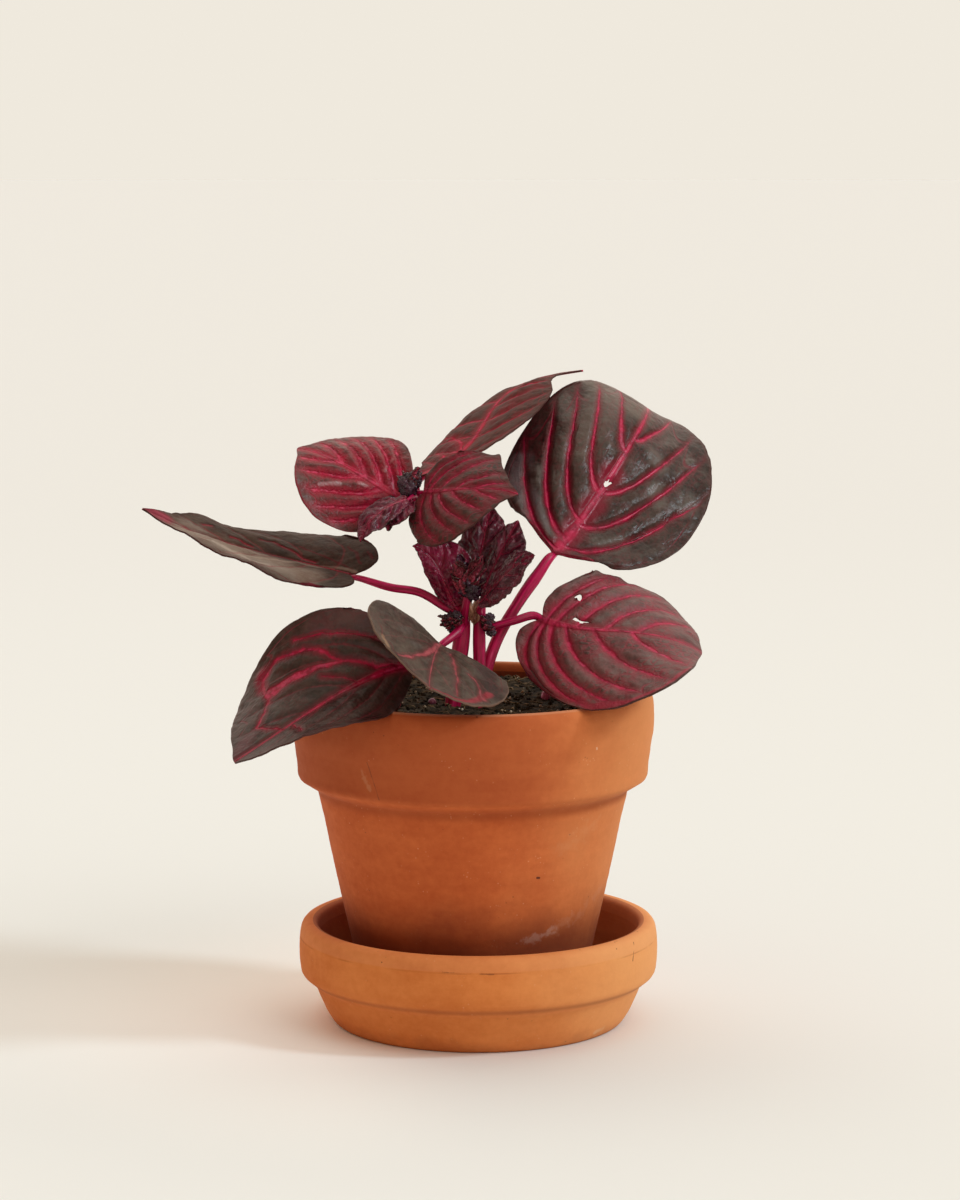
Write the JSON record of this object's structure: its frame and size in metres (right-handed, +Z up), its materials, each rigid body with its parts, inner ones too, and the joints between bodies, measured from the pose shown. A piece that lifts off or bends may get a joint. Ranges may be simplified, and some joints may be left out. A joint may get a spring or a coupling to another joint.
{
  "type": "potted bloodleaf",
  "caption": "Young bloodleaf plant with dark, crimson-veined leaves on crimson stems, growing in a round terracotta pot with a deep collar that stands in its terracotta saucer.",
  "frame": {"origin": "centre of the saucer's flat underside, on the surface that it stands on", "axes": "+Z up, +X to the right and +Y away as seen from the front"},
  "size_m": [0.1727, 0.1272, 0.1953],
  "materials": {
    "saucer_terracotta": "matte",
    "pot_terracotta": "matte",
    "soil": "matte",
    "stem": "satin",
    "leaf": "satin",
    "young_leaf": "satin",
    "bud": "satin",
    "dry_scar": "matte",
    "fallen_bit": "satin"
  },
  "bodies": {
    "root": {"saucer": "saucer_terracotta", "pot": "pot_terracotta", "soil": "soil", "stem_left": "stem", "stem_right": "stem", "leaf_upper_right": "leaf", "leaf_lower_right": "leaf", "leaf_long_left": "leaf", "leaf_lower_left": "leaf", "leaf_front": "leaf", "leaf_upper_left": "leaf", "leaf_upper_centre": "leaf", "leaf_top": "leaf", "young_leaf_drooping": "young_leaf", "young_leaf_folded": "young_leaf", "young_leaf_left": "young_leaf", "young_leaf_upright": "young_leaf", "young_leaf_notched": "young_leaf", "young_leaf_right": "young_leaf", "young_leaf_back": "young_leaf", "apex_bud": "bud", "crumpled_bud": "bud", "bud_cluster_left": "bud", "bud_cluster_right": "bud", "dry_scar": "dry_scar", "fallen_bit_right": "fallen_bit", "fallen_bit_left": "fallen_bit"}
  },
  "joints": []
}
